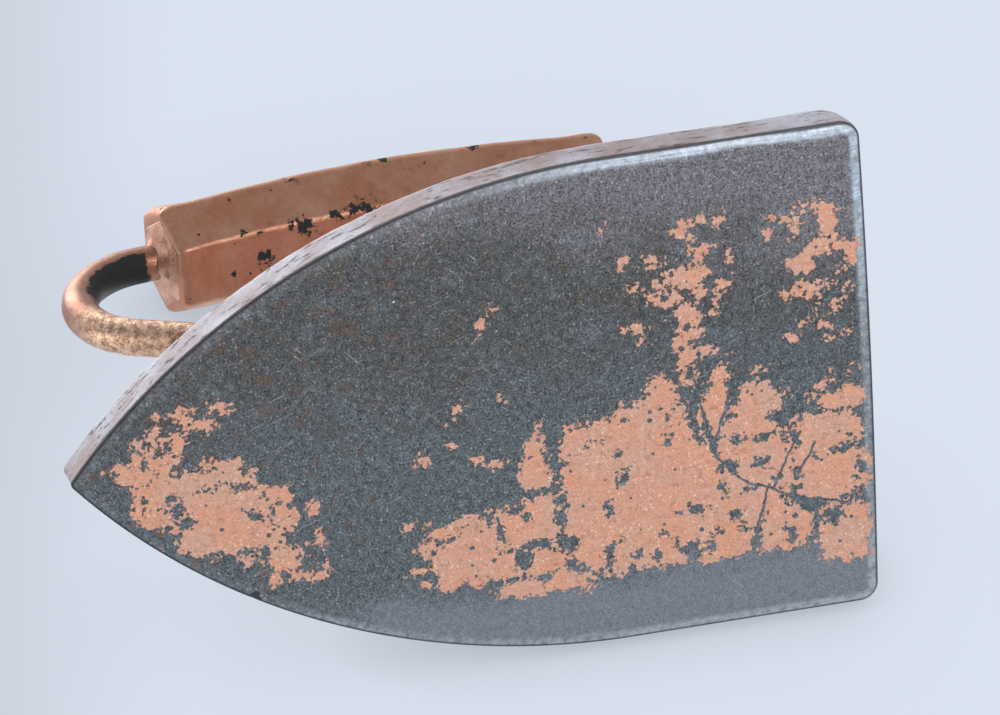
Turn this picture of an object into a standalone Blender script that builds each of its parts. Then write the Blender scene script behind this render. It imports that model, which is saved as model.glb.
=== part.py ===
"""Sad iron: a domed cast-iron base with a pointed nose, one round bar bent into a
handle, a six-sided hollow grip that the bar runs through, and a plug in each of its ends.

Frame: metres, the sole rests on z = 0, the handle rises along +Z and the nose points
to -Y. The origin is the middle of the base's length and width, at the sole.
Run with: blender --background --python part.py
"""
import math

import bmesh
import bpy
import numpy as np

MM = 0.001

# ---- driving dimensions -------------------------------------------------------------
# Base casting, seen from above: parallel sides, then one long arc each side that meets
# its twin at the nose.
BASE_LENGTH = 165.2 * MM          # heel to nose
BASE_WIDTH = 110.0 * MM
SIDE_STRAIGHT = 53.0 * MM         # heel to the start of the nose arcs
NOSE_TIP_RADIUS = 1.6 * MM
HEEL_CORNER_RADIUS = 4.0 * MM
HEEL_CORNER_SHOULDER = 8.0 * MM   # the same corner where the wall turns into the crown
HEEL_BOW = 0.6 * MM               # the heel stands out this much in its middle

# Base casting, seen from the side.
SOLE_EDGE = 0.9 * MM              # worn bevel round the sole
RIM_HEIGHT = 9.8 * MM             # upright wall with its rounded shoulder, at the nose
HEEL_RIM_HEIGHT = 8.2 * MM        # the same at the heel
RIM_DRAFT = 0.4 * MM              # the wall leans out this much on its way up
SHOULDER_RADIUS = 2.8 * MM
CROWN_HEIGHT = 25.0 * MM          # flat top of the casting
CROWN_INSET = 25.0 * MM           # rim to the edge of that flat
BOSS_HEIGHT = 4.0 * MM            # raised boss round each foot of the handle
BOSS_WALL = 5.0 * MM
SOCKET_DEPTH = 13.0 * MM          # how far a foot of the handle runs into its boss

# Handle bar.
BAR_DIAMETER = 7.7 * MM
HANDLE_HEIGHT = 97.3 * MM         # sole to the bar's axis, at the middle of the grip
HANDLE_CENTRE = 82.0 * MM         # heel to the middle of the grip
HANDLE_RAKE = math.radians(2.8)   # the grip is this much lower at its nose end
BAR_ARCH_RADIUS = 480.0 * MM      # the bar is bent far less than the grip it runs through
LOOP_RUN = 5.4 * MM               # straight run between the grip and a loop
LOOP_RADIUS = 17.2 * MM           # end loops, at the bar's axis
LEG_SLOPE = math.radians(26.0)    # legs below the level, on their way back to the base
FOOT_BEND_RADIUS = 16.0 * MM
FOOT_SPREAD = 57.0 * MM           # foot to foot, at the bar's axis

# Grip.
GRIP_LENGTH = 97.0 * MM
GRIP_WIDTH = 26.6 * MM            # corner to corner
GRIP_HEIGHT = 20.4 * MM           # flat to flat
GRIP_FLAT = 14.0 * MM             # width of the top and bottom flats
GRIP_CORNER_RADIUS = 2.2 * MM
GRIP_WALL = 2.0 * MM
GRIP_RISE = 0.9 * MM              # grip's middle line above the bar's, halfway along
GRIP_ARCH_RADIUS = 240.0 * MM
GRIP_TAPER = 0.8 * MM             # the grip is this much slimmer all round at its ends
GRIP_END_ROUND = 2.8 * MM         # length of the rounding at the sleeve's ends
GRIP_END_SHRINK = 1.9 * MM        # depth of that rounding
LIP_LENGTH = 8.0 * MM             # raised lip over the top of each end
LIP_RISE = 2.4 * MM
LIP_SHAPE = ((0, 0.2, 0.75, 1), (0.4, 1, 1, 0))   # share of its length, share of its rise
LIP_SPREAD = 0.4                  # the lip starts this share of the half height below the middle
PLUG_THICKNESS = 7.0 * MM
PLUG_CROWN = 0.8 * MM             # how far a plug stands out of the grip

CLEARANCE = 0.3 * MM              # between pieces that touch
LEAST_RADIUS = 0.3 * MM           # an outline moved inwards keeps this at its corners

# ---- facets -------------------------------------------------------------------------
ARC_STEP = math.radians(7.0)
ARCH_PIECE = 9.0 * MM
BAR_RESOLUTION = 4                # gives a bar of 12 sides
SOCKET_SIDES = 24
NOSE_ARC_POINTS = 12
STRAIGHT_POINTS = 4
HEEL_POINTS = 8
CORNER_POINTS = 4
HEX_CORNER_POINTS = 3

BAR_RADIUS = BAR_DIAMETER / 2
HEEL_Y = BASE_LENGTH / 2
HANDLE_Y = HEEL_Y - HANDLE_CENTRE


# ---- scene and materials ------------------------------------------------------------
def clear_scene():
    for thing in list(bpy.data.objects):
        bpy.data.objects.remove(thing)


def make_material(name, colour, roughness, metallic):
    material = bpy.data.materials.new(name)
    material.use_nodes = True
    shader = material.node_tree.nodes["Principled BSDF"]
    shader.inputs["Base Color"].default_value = (*colour, 1.0)
    shader.inputs["Roughness"].default_value = roughness
    shader.inputs["Metallic"].default_value = metallic
    return material


def add_object(name, data, material=None):
    thing = bpy.data.objects.new(name, data)
    bpy.context.scene.collection.objects.link(thing)
    if material:
        thing.data.materials.append(material)
    return thing


def hide_cutter(thing):
    thing.hide_render = True
    thing.display_type = "WIRE"


def add_boolean(thing, tool, operation):
    cut = thing.modifiers.new(operation.title(), "BOOLEAN")
    cut.operation = operation
    cut.solver = "EXACT"
    cut.object = tool


# ---- meshes from rings --------------------------------------------------------------
def ring_mesh(name, rings, closed_tube=False):
    """Skin a list of rings of equal length; the first and last are capped, or joined
    to each other when the skin is a closed tube."""
    mesh_data = bmesh.new()
    rows = [[mesh_data.verts.new(point) for point in ring] for ring in rings]
    count = len(rows[0])
    pairs = list(zip(rows, rows[1:]))
    if closed_tube:
        pairs.append((rows[-1], rows[0]))
    for lower, upper in pairs:
        for i in range(count):
            j = (i + 1) % count
            mesh_data.faces.new((lower[i], lower[j], upper[j], upper[i]))
    if not closed_tube:
        mesh_data.faces.new(rows[0][::-1])
        mesh_data.faces.new(rows[-1])
    bmesh.ops.recalc_face_normals(mesh_data, faces=mesh_data.faces)
    mesh = bpy.data.meshes.new(name)
    mesh_data.to_mesh(mesh)
    mesh_data.free()
    mesh.shade_smooth()
    mesh.set_sharp_from_angle(angle=math.radians(30))
    return mesh


def arc(centre, radius, start, end, count):
    """Points from angle start to angle end, both ends included."""
    angles = np.linspace(start, end, count)
    return np.c_[centre[0] + radius * np.cos(angles), centre[1] + radius * np.sin(angles)]


# ---- base casting -------------------------------------------------------------------
def nose_arc_radius():
    """Radius of the arc that leaves the side square and runs into the nose's small tip
    circle, which touches the end of the base's length."""
    reach = BASE_LENGTH - SIDE_STRAIGHT - NOSE_TIP_RADIUS
    half = BASE_WIDTH / 2
    return (reach ** 2 + half ** 2 - NOSE_TIP_RADIUS ** 2) / (2 * (half - NOSE_TIP_RADIUS))


def base_outline(inset, corner_radius):
    """The base's outline seen from above, moved inwards by inset, as (x, y) points that
    run anticlockwise from the nose. The corner radius is that of the heel corners."""
    half = BASE_WIDTH / 2 - inset
    radius = nose_arc_radius() - inset
    centre_x = BASE_WIDTH / 2 - nose_arc_radius()
    arc_y = HEEL_Y - SIDE_STRAIGHT
    tip = max(NOSE_TIP_RADIUS - inset, LEAST_RADIUS)
    corner = max(corner_radius - inset, LEAST_RADIUS)

    tip_y = arc_y - math.sqrt((radius - tip) ** 2 - centre_x ** 2)
    lean = math.atan2(tip_y - arc_y, -centre_x)
    nose = arc((0, tip_y), tip, -math.pi / 2, lean, 3)
    side_arc = arc((centre_x, arc_y), radius, lean, 0, NOSE_ARC_POINTS)[1:]

    heel_y = HEEL_Y - inset
    corner_centre = (half - corner, heel_y - HEEL_BOW - corner)
    straight_y = np.linspace(arc_y, corner_centre[1], STRAIGHT_POINTS)[1:-1]
    straight = np.c_[np.full(len(straight_y), half), straight_y]
    corner_arc = arc(corner_centre, corner, 0, math.pi / 2, CORNER_POINTS)
    across = np.linspace(corner_centre[0], 0, HEEL_POINTS // 2 + 1)[1:]
    heel = np.c_[across, heel_y - HEEL_BOW * (across / corner_centre[0]) ** 2]

    right = np.concatenate([nose, side_arc, straight, corner_arc, heel])
    left = right[1:-1][::-1] * (-1, 1)
    return np.concatenate([right, left])


def base_profile():
    """(inset, height, rim share) from the sole, up the wall, over the shoulder to the
    crown. The rim share says how much of the rim's fall towards the heel a ring takes."""
    wall = [(SOLE_EDGE + RIM_DRAFT, 0.0, 0.0), (RIM_DRAFT, SOLE_EDGE, 0.0)]
    shoulder_z = RIM_HEIGHT - SHOULDER_RADIUS
    shoulder = [(SHOULDER_RADIUS * (1 - math.cos(turn)),
                 shoulder_z + SHOULDER_RADIUS * math.sin(turn), 1.0)
                for turn in np.radians((0, 22, 44, 66))]
    start, rise = shoulder[-1][:2]
    crown = []
    for share in (0.3, 0.65, 1.0):
        inset = start + (CROWN_INSET - start) * share
        height = rise + (CROWN_HEIGHT - rise) * math.sin(share * math.pi / 2)
        crown.append((inset, height, 1 - share))
    return wall + shoulder + crown


def base_rings():
    rings = []
    for inset, height, rim_share in base_profile():
        softening = min(1.0, height / RIM_HEIGHT)
        corner = HEEL_CORNER_RADIUS + (HEEL_CORNER_SHOULDER - HEEL_CORNER_RADIUS) * softening
        flat = base_outline(inset, corner)
        heelward = (flat[:, 1] + BASE_LENGTH / 2) / BASE_LENGTH
        fall = (RIM_HEIGHT - HEEL_RIM_HEIGHT) * rim_share * heelward
        rings.append(np.c_[flat, height - fall])
    return rings


def foot_positions():
    """Y of the front and the rear foot of the handle."""
    return HANDLE_Y - FOOT_SPREAD / 2, HANDLE_Y + FOOT_SPREAD / 2


def round_column(name, radii_and_heights, y):
    rings = []
    for radius, height in radii_and_heights:
        flat = arc((0, y), radius, 0, 2 * math.pi, SOCKET_SIDES + 1)[:-1]
        rings.append(np.c_[flat, np.full(SOCKET_SIDES, height)])
    tool = add_object(name, ring_mesh(name, rings))
    hide_cutter(tool)
    return tool


def socket_floor():
    return CROWN_HEIGHT + BOSS_HEIGHT - SOCKET_DEPTH


def build_base(material):
    base = add_object("base_casting", ring_mesh("base_casting", base_rings()), material)
    socket_radius = BAR_RADIUS + CLEARANCE
    boss_top = CROWN_HEIGHT + BOSS_HEIGHT
    sides = [(socket_radius + 2 * BOSS_WALL, CROWN_HEIGHT - BOSS_HEIGHT),
             (socket_radius + 1.6 * BOSS_WALL, CROWN_HEIGHT),
             (socket_radius + BOSS_WALL, boss_top - 0.35 * BOSS_HEIGHT),
             (socket_radius + 0.7 * BOSS_WALL, boss_top)]
    feet = list(zip(("front", "rear"), foot_positions()))
    for end, y in feet:
        add_boolean(base, round_column(end + "_boss_form", sides, y), "UNION")
    for end, y in feet:
        bore = [(socket_radius, socket_floor()), (socket_radius, boss_top + BOSS_HEIGHT)]
        add_boolean(base, round_column(end + "_socket_cutter", bore, y), "DIFFERENCE")
    return base


# ---- handle bar ---------------------------------------------------------------------
def walk_arc(path, heading, radius, turn, step):
    """Carry a path of (y, z) points round an arc; a positive turn goes anticlockwise."""
    count = max(2, math.ceil(abs(turn) / step))
    side = math.copysign(1, turn)
    start = path[-1]
    centre = start + side * radius * np.array((-math.sin(heading), math.cos(heading)))
    for i in range(1, count + 1):
        angle = heading + turn * i / count
        path.append(centre - side * radius * np.array((-math.sin(angle), math.cos(angle))))
    return heading + turn


def walk_straight(path, heading, length):
    path.append(path[-1] + length * np.array((math.cos(heading), math.sin(heading))))


def half_handle(rake):
    """One half of the bar as (run, z) points, from the middle of the grip to its foot.
    Run is measured away from the middle, and rake tilts this half down."""
    path = [np.array((0.0, HANDLE_HEIGHT))]
    arch = GRIP_LENGTH / 2 / BAR_ARCH_RADIUS
    heading = walk_arc(path, -rake, BAR_ARCH_RADIUS, -arch, ARCH_PIECE / BAR_ARCH_RADIUS)
    walk_straight(path, heading, LOOP_RUN)
    leg_heading = -math.pi + LEG_SLOPE
    heading = walk_arc(path, heading, LOOP_RADIUS, leg_heading - heading, ARC_STEP)
    bend_reach = FOOT_BEND_RADIUS * (1 - math.sin(LEG_SLOPE))
    leg = (path[-1][0] - FOOT_SPREAD / 2 - bend_reach) / math.cos(LEG_SLOPE)
    walk_straight(path, heading, leg)
    walk_arc(path, heading, FOOT_BEND_RADIUS, math.pi / 2 - LEG_SLOPE, ARC_STEP)
    path.append(np.array((FOOT_SPREAD / 2, socket_floor() + CLEARANCE)))
    return path


def build_bar(material):
    front = [(0.0, HANDLE_Y - run, z) for run, z in half_handle(HANDLE_RAKE)]
    rear = [(0.0, HANDLE_Y + run, z) for run, z in half_handle(-HANDLE_RAKE)]
    points = front[::-1] + rear[1:]
    curve = bpy.data.curves.new("handle_bar", "CURVE")
    curve.dimensions = "3D"
    curve.bevel_depth = BAR_RADIUS
    curve.bevel_resolution = BAR_RESOLUTION
    curve.use_fill_caps = True
    spline = curve.splines.new("POLY")
    spline.points.add(len(points) - 1)
    for spot, point in zip(spline.points, points):
        spot.co = (*point, 1.0)
    return add_object("handle_bar", curve, material)


# ---- grip and its end plugs ---------------------------------------------------------
def hex_section(shrink):
    """The grip's six-sided section with rounded corners, moved inwards by shrink, as
    (x, n) points that run anticlockwise; n is the height above the section's middle."""
    side_angle = math.atan2(GRIP_HEIGHT / 2, (GRIP_WIDTH - GRIP_FLAT) / 2)
    half_height = GRIP_HEIGHT / 2 - shrink
    half_width = GRIP_WIDTH / 2 - shrink / math.sin(side_angle)
    half_flat = half_width - half_height / math.tan(side_angle)
    radius = max(GRIP_CORNER_RADIUS - shrink, 2 * LEAST_RADIUS)
    corners = [(half_width, 0), (half_flat, half_height), (-half_flat, half_height),
               (-half_width, 0), (-half_flat, -half_height), (half_flat, -half_height)]
    points = []
    for i, corner in enumerate(np.array(corners)):
        before = corner - corners[i - 1]
        after = np.array(corners[(i + 1) % 6]) - corner
        start = math.atan2(before[1], before[0]) - math.pi / 2
        turn = (math.atan2(after[1], after[0]) - math.pi / 2 - start) % (2 * math.pi)
        middle = start + turn / 2
        centre = corner - radius / math.cos(turn / 2) * np.array((math.cos(middle), math.sin(middle)))
        points.append(arc(centre, radius, start, start + turn, HEX_CORNER_POINTS))
    return np.concatenate(points)


def arch_centre(radius, rise):
    """Centre (y, z) of the raked arch that passes rise above the bar's middle point."""
    up = np.array((-math.sin(HANDLE_RAKE), math.cos(HANDLE_RAKE)))
    return np.array((HANDLE_Y, HANDLE_HEIGHT)) + (rise - radius) * up


def arch_frame(distance):
    """A point of the grip's middle line, distance from its middle towards the nose, and
    the outward direction there."""
    angle = HANDLE_RAKE + distance / GRIP_ARCH_RADIUS
    outward = np.array((-math.sin(angle), math.cos(angle)))
    return arch_centre(GRIP_ARCH_RADIUS, GRIP_RISE) + GRIP_ARCH_RADIUS * outward, outward


def bar_offset(distance):
    """Height of the bar's axis above the grip's middle line, in the section at distance."""
    _, outward = arch_frame(distance)
    apart = arch_centre(GRIP_ARCH_RADIUS, GRIP_RISE) - arch_centre(BAR_ARCH_RADIUS, 0)
    along = apart @ outward
    return math.sqrt(along ** 2 - apart @ apart + BAR_ARCH_RADIUS ** 2) - along - GRIP_ARCH_RADIUS


def place_section(section, distance, lift=0.0):
    """Set a section across the arch. Lift raises its upper half, most at the top."""
    origin, outward = arch_frame(distance)
    n = section[:, 1]
    n = n + lift * np.clip(LIP_SPREAD + n / (GRIP_HEIGHT / 2), 0, 1)
    return np.c_[section[:, 0], origin[0] + n * outward[0], origin[1] + n * outward[1]]


def bore_section(count, distance):
    """A round hole for the bar, with as many points as the section round it and starting
    level with it: a section's first corner points straddle the +X axis."""
    angles = 2 * math.pi * (np.arange(count) - HEX_CORNER_POINTS // 2) / count
    radius = BAR_RADIUS + CLEARANCE
    return np.c_[radius * np.cos(angles), bar_offset(distance) + radius * np.sin(angles)]


def taper(distance):
    """How much slimmer the grip is at distance from its middle."""
    return GRIP_TAPER * (2 * distance / GRIP_LENGTH) ** 2


def build_sleeve(material):
    """Outer skin from end to end, with rounded ends and raised lips, then the hollow."""
    half = GRIP_LENGTH / 2
    end_steps = [GRIP_END_ROUND * (1 - math.cos(turn)) for turn in np.radians((0, 35, 62, 90))]
    end_steps += [LIP_LENGTH * 0.75, LIP_LENGTH]
    middle = np.linspace(-(half - LIP_LENGTH), half - LIP_LENGTH, 10)[1:-1]
    outer_places = [-(half - step) for step in end_steps] + list(middle)
    outer_places += [half - step for step in end_steps[::-1]]
    outer = []
    for distance in outer_places:
        from_end = half - abs(distance)
        into_round = max(0.0, 1 - from_end / GRIP_END_ROUND)
        shrink = GRIP_END_SHRINK * (1 - math.sqrt(1 - into_round ** 2))
        lift = LIP_RISE * np.interp(from_end / LIP_LENGTH, *LIP_SHAPE)
        outer.append(place_section(hex_section(taper(distance) + shrink), distance, lift))
    inner_places = np.linspace(half, -half, 12)
    inner = [place_section(hex_section(taper(d) + GRIP_WALL), d) for d in inner_places]
    mesh = ring_mesh("grip_sleeve", outer + inner, closed_tube=True)
    return add_object("grip_sleeve", mesh, material)


def build_plug(name, end, material):
    """A thick washer in one end of the sleeve, round the bar; end is 1 at the nose."""
    mouth = end * GRIP_LENGTH / 2
    face = mouth + end * PLUG_CROWN
    back = mouth - end * PLUG_THICKNESS
    shrink = taper(mouth) + GRIP_WALL + CLEARANCE
    section = hex_section(shrink)
    domed = hex_section(shrink + PLUG_CROWN / 2)
    count = len(section)
    rings = [place_section(section, back), place_section(section, mouth), place_section(domed, face),
             place_section(bore_section(count, mouth), face),
             place_section(bore_section(count, back), back)]
    return add_object(name, ring_mesh(name, rings, closed_tube=True), material)


def build():
    clear_scene()
    iron = make_material("coppered_cast_iron", (0.20, 0.105, 0.075), 0.45, 0.7)
    copper = make_material("coppered_bar", (0.42, 0.21, 0.13), 0.38, 0.85)
    grip = make_material("coppered_grip", (0.33, 0.16, 0.10), 0.42, 0.8)
    plug = make_material("coppered_plug", (0.36, 0.18, 0.12), 0.5, 0.8)
    build_base(iron)
    build_bar(copper)
    build_sleeve(grip)
    build_plug("front_end_plug", 1, plug)
    build_plug("rear_end_plug", -1, plug)


build()
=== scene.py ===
import math

import bpy
import numpy as np
from mathutils import Matrix, Vector


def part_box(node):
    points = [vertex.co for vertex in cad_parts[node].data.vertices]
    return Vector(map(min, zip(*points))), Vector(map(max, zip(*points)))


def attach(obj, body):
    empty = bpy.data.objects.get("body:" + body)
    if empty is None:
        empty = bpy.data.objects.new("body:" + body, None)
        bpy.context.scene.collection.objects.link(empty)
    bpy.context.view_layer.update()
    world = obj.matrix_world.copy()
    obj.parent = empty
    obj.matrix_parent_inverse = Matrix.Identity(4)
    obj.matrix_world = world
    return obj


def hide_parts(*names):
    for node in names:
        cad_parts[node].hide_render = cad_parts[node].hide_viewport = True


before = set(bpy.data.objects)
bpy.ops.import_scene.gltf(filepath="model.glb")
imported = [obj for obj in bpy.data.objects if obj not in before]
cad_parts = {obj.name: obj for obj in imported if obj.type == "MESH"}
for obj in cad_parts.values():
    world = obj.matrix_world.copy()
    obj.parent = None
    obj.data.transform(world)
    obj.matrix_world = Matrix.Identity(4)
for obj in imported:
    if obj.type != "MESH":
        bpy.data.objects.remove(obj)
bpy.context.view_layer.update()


# ---- base casting ---------------------------------------------------------------------
# The body of the iron: one solid casting in grey iron with a ground sole, a slim upright
# rim and a rounded crown with a boss round each foot of the handle. It was copper flashed
# all over; on the sole most of the copper has worn off and what is left is flaking.
MM = 0.001
base_low, base_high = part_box("base_casting")
BASE_LENGTH = base_high.y - base_low.y
BASE_WIDTH = base_high.x - base_low.x
HEEL_Y = base_high.y
BOSS_TOP = base_high.z
SIDE_STRAIGHT = 53.0 * MM         # heel to the start of the nose arcs
TIP_RADIUS = 1.6 * MM
HEEL_CORNER = 4.0 * MM
HEEL_CORNER_SHOULDER = 8.0 * MM   # the same corner up where the wall turns into the crown
HEEL_BOW = 0.6 * MM
LEAST_RADIUS = 0.3 * MM           # no corner gets sharper than this as the outline shrinks
RIM_HEIGHT = 9.8 * MM             # at the nose, with the rounded shoulder
HEEL_RIM_HEIGHT = 8.2 * MM
SHOULDER_RADIUS = 2.8 * MM
SHOULDER_TURN = 66.0              # degrees from the upright wall to the start of the crown
SOLE_ROLL = 3.9 * MM              # width of the worn round edge of the sole
SOLE_ROLL_RISE = 0.6 * MM
SOLE_ROLL_POWER = 2.4             # 1 is a flat chamfer, more is rounder
ARRIS_INSET = 0.42 * MM           # the thin step between that edge and the wall
ARRIS_WIDTH = 0.05 * MM
ARRIS_TOP = 0.85 * MM
CROWN_HEIGHT = 25.0 * MM
CROWN_INSET = 25.0 * MM
LEAST_RING = 0.012                # size of the innermost rings, as a share of the full ring
MIDDLE_SHARE = 0.4                # where the rings shrink to, as a share of the length from the heel
HANDLE_Y = 0.6 * MM
FOOT_SPREAD = 57.0 * MM
BOSS_RADIUS = 9.0 * MM
BOSS_SKIRT = 5.0 * MM
BOSS_FILLET = 2.0 * MM


def surface(name, rows, closed=False):
    """A mesh from a grid of points, rows by columns by 3. Each row is a ring that joins up
    with itself. The first and last rows are closed by a fan to their middle, or join each
    other when the surface is closed. A negative volume means that the faces look inwards,
    and then they are turned round."""
    count, around = rows.shape[:2]
    points = rows.reshape(-1, 3)
    ring = np.arange(around)
    after = np.roll(ring, -1)
    starts = np.arange(count if closed else count - 1)[:, None] * around
    nexts = (starts + around) % (count * around)
    quads = np.stack([starts + ring, starts + after, nexts + after, nexts + ring], -1)
    quads = quads.reshape(-1, 4)
    faces = quads.tolist()
    if not closed:
        points = np.concatenate([points, rows[0].mean(0)[None], rows[-1].mean(0)[None]])
        first, last = count * around, count * around + 1
        faces += np.stack([after, ring, np.full(around, first)], -1).tolist()
        top = (count - 1) * around
        faces += np.stack([top + ring, top + after, np.full(around, last)], -1).tolist()
    corner = points[quads]
    facing = np.cross(corner[:, 2] - corner[:, 0], corner[:, 3] - corner[:, 1])
    volume = np.einsum("ij,ij->", facing, corner.mean(1) - points.mean(0))
    if volume < 0:
        faces = [face[::-1] for face in faces]
    mesh = bpy.data.meshes.new(name)
    mesh.from_pydata(points.tolist(), [], faces)
    mesh.shade_smooth()
    piece = bpy.data.objects.new(name, mesh)
    bpy.context.scene.collection.objects.link(piece)
    return piece


def points_of(piece):
    points = np.empty(len(piece.data.vertices) * 3, np.float32)
    piece.data.vertices.foreach_get("co", points)
    return points.reshape(-1, 3).astype(float)


def put_points(piece, points):
    piece.data.vertices.foreach_set("co", points.astype(np.float32).ravel())
    piece.data.update()


def keep_field(piece, name, values):
    """Store one number for each vertex, for the piece's material to read."""
    kept = piece.data.attributes.new(name, "FLOAT", "POINT")
    kept.data.foreach_set("value", values.astype(np.float32))


def grain(points, size, seed):
    """A smooth random field from -1 to 1: random values at the corners of a lattice with
    that cell size, blended between corners by a smooth step along each axis."""
    cell = points / size
    low = np.floor(cell).astype(int)
    part = cell - low
    part = part * part * (3 - 2 * part)
    table = np.random.default_rng(seed).uniform(-1, 1, (32, 32, 32))
    total = 0
    for corner in np.ndindex(2, 2, 2):
        step = np.array(corner)
        weight = np.prod(np.where(step, part, 1 - part), axis=-1)
        i = (low + step) % 32
        total = total + weight * table[i[..., 0], i[..., 1], i[..., 2]]
    return total


def roughen(piece, layers, share=1.0):
    """Move the surface along its normals, in and out by half of each random field's depth.
    The fields are given as (depth, size, seed); share scales the move of each vertex."""
    points = points_of(piece)
    normals = np.empty(points.size, np.float32)
    piece.data.vertices.foreach_get("normal", normals)
    move = sum(depth / 2 * grain(points, size, seed) for depth, size, seed in layers)
    put_points(piece, points + normals.reshape(-1, 3) * (move * share)[:, None])


def smooth_step(value, low, high):
    """0 at low, 1 at high, and 3p^2 - 2p^3 between, where p is the share of the way."""
    part = np.clip((value - low) / (high - low), 0, 1)
    return part * part * (3 - 2 * part)


def base_outline(inset, corner):
    """The outline moved inwards by inset, one row for each inset: a small arc round the
    nose, a long arc that meets the side square, the straight side, an arc round the heel
    corner and the heel, which bows out by a parabola; then the same mirrored."""
    reach = BASE_LENGTH - SIDE_STRAIGHT - TIP_RADIUS
    half_width = BASE_WIDTH / 2
    nose_arc = (reach ** 2 + half_width ** 2 - TIP_RADIUS ** 2) / (2 * (half_width - TIP_RADIUS))
    half = half_width - inset
    radius = nose_arc - inset
    centre_x = half_width - nose_arc
    arc_y = HEEL_Y - SIDE_STRAIGHT
    tip = np.maximum(TIP_RADIUS - inset, LEAST_RADIUS)
    corner = np.maximum(corner - inset, LEAST_RADIUS)
    tip_y = arc_y - np.sqrt((radius - tip) ** 2 - centre_x ** 2)
    lean = np.arctan2(tip_y - arc_y, -centre_x)

    turn = -math.pi / 2 + (lean + math.pi / 2) * np.linspace(0, 1, 10)
    nose = tip * np.cos(turn), tip_y + tip * np.sin(turn)
    turn = lean * (1 - np.linspace(0, 1, 120)[1:])
    side = centre_x + radius * np.cos(turn), arc_y + radius * np.sin(turn)
    corner_y = HEEL_Y - inset - HEEL_BOW - corner
    share = np.linspace(0, 1, 46)[1:-1]
    straight = half + 0 * share, arc_y + (corner_y - arc_y) * share
    turn = math.pi / 2 * np.linspace(0, 1, 18)
    bend = half - corner + corner * np.cos(turn), corner_y + corner * np.sin(turn)
    across = (half - corner) * (1 - np.linspace(0, 1, 56)[1:])
    heel = across, HEEL_Y - inset - HEEL_BOW * (across / (half - corner)) ** 2

    x, y = (np.concatenate(parts, axis=1) for parts in zip(nose, side, straight, bend, heel))
    return np.concatenate([x, -x[:, -2:0:-1]], axis=1), np.concatenate([y, y[:, -2:0:-1]], axis=1)


def base_profile():
    """Rows of (inset, height, rim share, shrink) from the middle of the sole, over its
    rolled edge, which rises as a power of the run, up the wall, round the shoulder's arc
    and over the crown, a quarter sine, to its middle. Shrink draws a row towards the middle
    of the base; the rim falls towards the heel by its share."""
    def part(inset, height, rim=0.0, shrink=1.0):
        return np.stack(np.broadcast_arrays(inset, height, rim, shrink), -1)

    run = np.linspace(0, 1, 80)[:-1]
    sole = part(SOLE_ROLL, 0.0, shrink=LEAST_RING + (1 - LEAST_RING) * run)
    run = np.linspace(0, 1, 10)
    roll = part(SOLE_ROLL + (ARRIS_INSET - SOLE_ROLL) * run, SOLE_ROLL_RISE * run ** SOLE_ROLL_POWER)
    run = np.linspace(0, 1, 4)[1:]
    step = part(ARRIS_INSET - ARRIS_WIDTH * run, SOLE_ROLL_RISE + (ARRIS_TOP - SOLE_ROLL_RISE) * run)
    run = np.linspace(0, 1, 12)[1:]
    wall_top = RIM_HEIGHT - SHOULDER_RADIUS
    wall = part((ARRIS_INSET - ARRIS_WIDTH) * (1 - run), ARRIS_TOP + (wall_top - ARRIS_TOP) * run, run)
    turn = np.radians(np.linspace(0, SHOULDER_TURN, 12)[1:])
    shoulder = part(SHOULDER_RADIUS * (1 - np.cos(turn)), wall_top + SHOULDER_RADIUS * np.sin(turn), 1.0)
    inset, rise = shoulder[-1, :2]
    run = np.linspace(0, 1, 24)[1:]
    crown = part(inset + (CROWN_INSET - inset) * run,
                 rise + (CROWN_HEIGHT - rise) * np.sin(run * math.pi / 2), 1 - run)
    run = np.linspace(1, 0, 44)[1:]
    top = part(CROWN_INSET, CROWN_HEIGHT, shrink=LEAST_RING + (1 - LEAST_RING) * run)
    return np.concatenate([sole, roll, step, wall, shoulder, crown, top])


def build_base():
    """The outline at each row of the profile, with a boss raised round each foot by a smooth
    step of the distance from it, and then roughened off the sole."""
    profile = base_profile()
    inset, height, rim, shrink = (profile[:, [i]] for i in range(4))
    softening = np.minimum(1, height / RIM_HEIGHT)
    x, y = base_outline(inset, HEEL_CORNER + (HEEL_CORNER_SHOULDER - HEEL_CORNER) * softening)
    middle_y = HEEL_Y - MIDDLE_SHARE * BASE_LENGTH
    x, y = x * shrink, middle_y + (y - middle_y) * shrink
    fall = (RIM_HEIGHT - HEEL_RIM_HEIGHT) * rim * (y + BASE_LENGTH / 2) / BASE_LENGTH
    z = height - fall
    for side in (-1, 1):
        apart = np.hypot(x, y - HANDLE_Y - side * FOOT_SPREAD / 2)
        boss = smooth_step(apart, BOSS_RADIUS + BOSS_SKIRT, BOSS_RADIUS - BOSS_FILLET)
        z = z + (BOSS_TOP - z) * boss * (height > RIM_HEIGHT)
    base = surface("base_casting_worn", np.stack([x, y, z], -1))
    points = points_of(base)
    off_sole = smooth_step(points[:, 2], 0.7 * MM, 2.5 * MM)
    roughen(base, ((0.35 * MM, 11 * MM, 1), (0.16 * MM, 3.1 * MM, 2), (0.07 * MM, 1.3 * MM, 3)), off_sole)
    return base


def nudge(piece, knocks):
    """Knocks and lumps: each moves what lies within its reach of a point by a push that
    fades as a bell curve; given as (point, reach, push)."""
    points = points_of(piece)
    for at, reach, push in knocks:
        near = np.exp(-((points - np.array(at)) ** 2).sum(1) / reach ** 2)
        points = points + near[:, None] * np.array(push)
    put_points(piece, points)


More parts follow.
